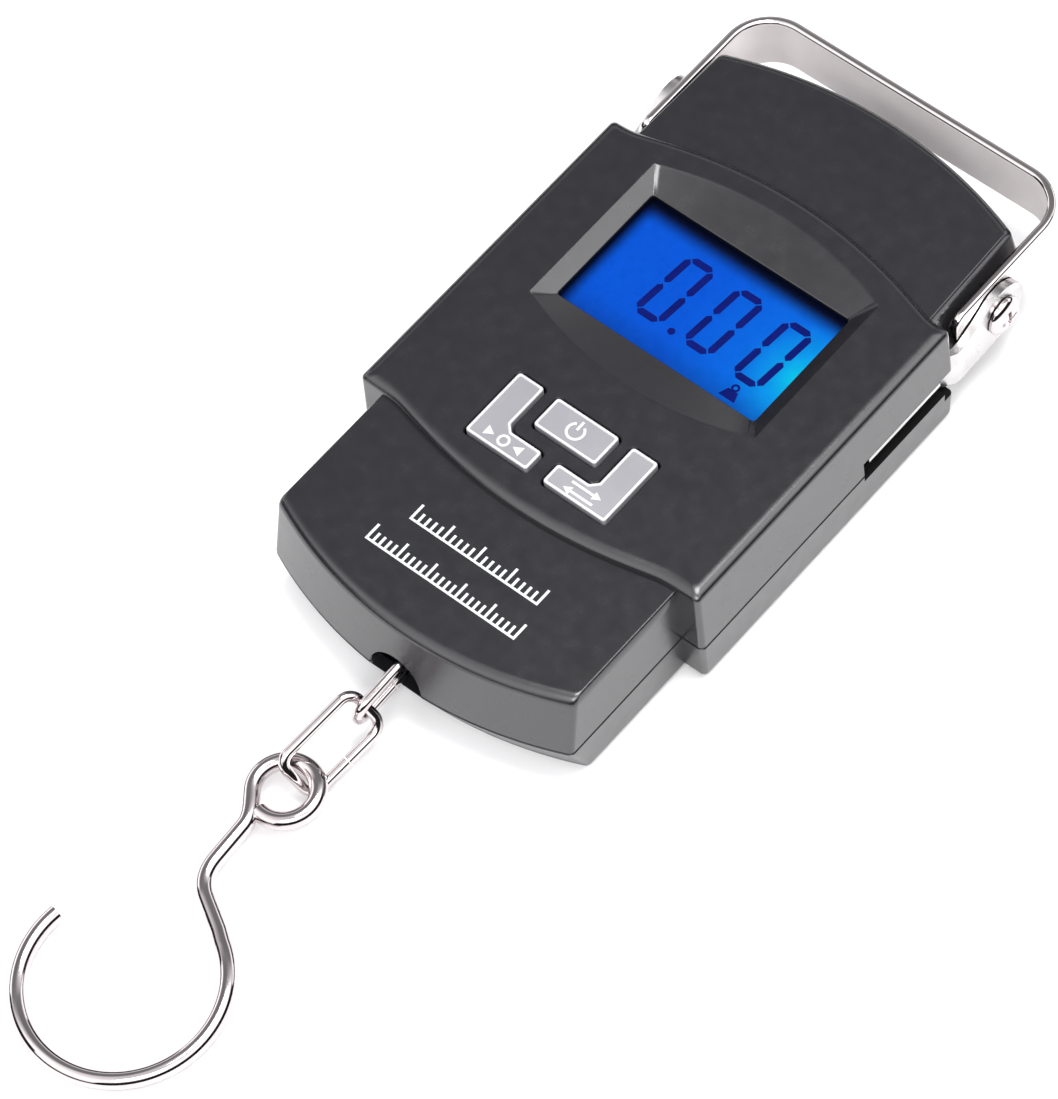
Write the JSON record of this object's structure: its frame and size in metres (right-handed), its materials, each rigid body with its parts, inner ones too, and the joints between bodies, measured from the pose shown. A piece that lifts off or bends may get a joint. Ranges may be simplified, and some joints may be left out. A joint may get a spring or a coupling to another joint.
{
  "type": "digital luggage scale",
  "caption": "Hand-held digital hanging scale: stepped plastic case with display and buttons, folding strap handle, chain of links and an open hook.",
  "frame": {"origin": "in the flat back face of the case, midway across its width, a little below the middle of its length", "axes": "+Z out of the display, square to the back face; +Y along the case towards the handle; +X to the scale's right as its display is read"},
  "size_m": [0.0634, 0.1855, 0.0215],
  "materials": {
    "case_plastic": "fine satin texture, charcoal black",
    "window": "clear polished",
    "lcd": "lit blue display",
    "white_plastic": "white diffuser",
    "soft_rubber": "grey silicone",
    "board": "green solder mask",
    "epoxy": "black potting blob",
    "button_plastic": "silver-grey satin paint",
    "screw_zinc": "zinc plated",
    "frame_steel": "bright stamped sheet",
    "cell_aluminium": "milled",
    "gauge_film": "foil gauge under grey sealant",
    "polished_steel": "polished, nickel plated",
    "spring_steel": "nickel-plated spring strip",
    "battery_can": "printed jacket with no wording"
  },
  "bodies": {
    "case": {"front_shell": "case_plastic", "rear_shell": "case_plastic", "display_window": "window", "lcd_panel": "lcd", "backlight": "white_plastic", "lcd_connector": "soft_rubber", "circuit_board": "board", "main_chip": "epoxy", "keypad_mat": "soft_rubber", "contact_dome_1": "spring_steel", "contact_dome_2": "spring_steel", "contact_dome_3": "spring_steel", "board_screw_1": "screw_zinc", "board_screw_2": "screw_zinc", "board_screw_3": "screw_zinc", "case_screw_1": "screw_zinc", "case_screw_2": "screw_zinc", "case_screw_3": "screw_zinc", "case_screw_4": "screw_zinc", "load_frame": "frame_steel", "load_cell": "cell_aluminium", "cell_screw_1": "screw_zinc", "cell_screw_2": "screw_zinc", "strain_gauge_upper": "gauge_film", "strain_gauge_lower": "gauge_film", "battery_1": "battery_can", "battery_2": "battery_can", "contact_spring_1": "spring_steel", "contact_spring_2": "spring_steel", "contact_plate_left": "spring_steel", "contact_plate_right": "spring_steel"},
    "door": {"battery_door": "case_plastic"},
    "key_left": {"button_left": "button_plastic"},
    "key_centre": {"button_centre": "button_plastic"},
    "key_right": {"button_right": "button_plastic"},
    "strap": {"handle": "polished_steel", "pivot_screw_left": "polished_steel", "pivot_screw_right": "polished_steel"},
    "chain_upper": {"link_upper": "polished_steel"},
    "chain_lower": {"link_lower": "polished_steel"},
    "hook_body": {"hook": "polished_steel"}
  },
  "joints": [
    {"name": "handle_fold", "type": "hinge", "parent": "case", "child": "strap", "pos_m": [0, 0.0382, 0.0114], "axis": [1, 0, 0], "range_deg": [-115, 110]},
    {"name": "button_left_press", "type": "slide", "parent": "case", "child": "key_left", "axis": [0, 0, -1], "range_m": [0, 0.0005], "stiffness_N_per_m": 600},
    {"name": "button_centre_press", "type": "slide", "parent": "case", "child": "key_centre", "axis": [0, 0, -1], "range_m": [0, 0.0005], "stiffness_N_per_m": 600},
    {"name": "button_right_press", "type": "slide", "parent": "case", "child": "key_right", "axis": [0, 0, -1], "range_m": [0, 0.0005], "stiffness_N_per_m": 600},
    {"name": "battery_door_lift", "type": "slide", "parent": "case", "child": "door", "axis": [0, 0, -1], "range_m": [0, 0.03]},
    {"name": "chain_pitch", "type": "hinge", "parent": "case", "child": "chain_upper", "pos_m": [0, -0.0503, 0.0095], "axis": [1, 0, 0], "range_deg": [-8, 8]},
    {"name": "chain_swing", "type": "hinge", "parent": "chain_upper", "child": "chain_lower", "pos_m": [-0.0006, -0.0633, 0.0072], "axis": [-0.199, 0.182, -0.963], "range_deg": [-28, 28]},
    {"name": "hook_tip", "type": "hinge", "parent": "chain_lower", "child": "hook_body", "pos_m": [-0.0026, -0.0746, 0.0039], "axis": [0.6392, 0.109, -0.7613], "range_deg": [-18, 28]}
  ]
}
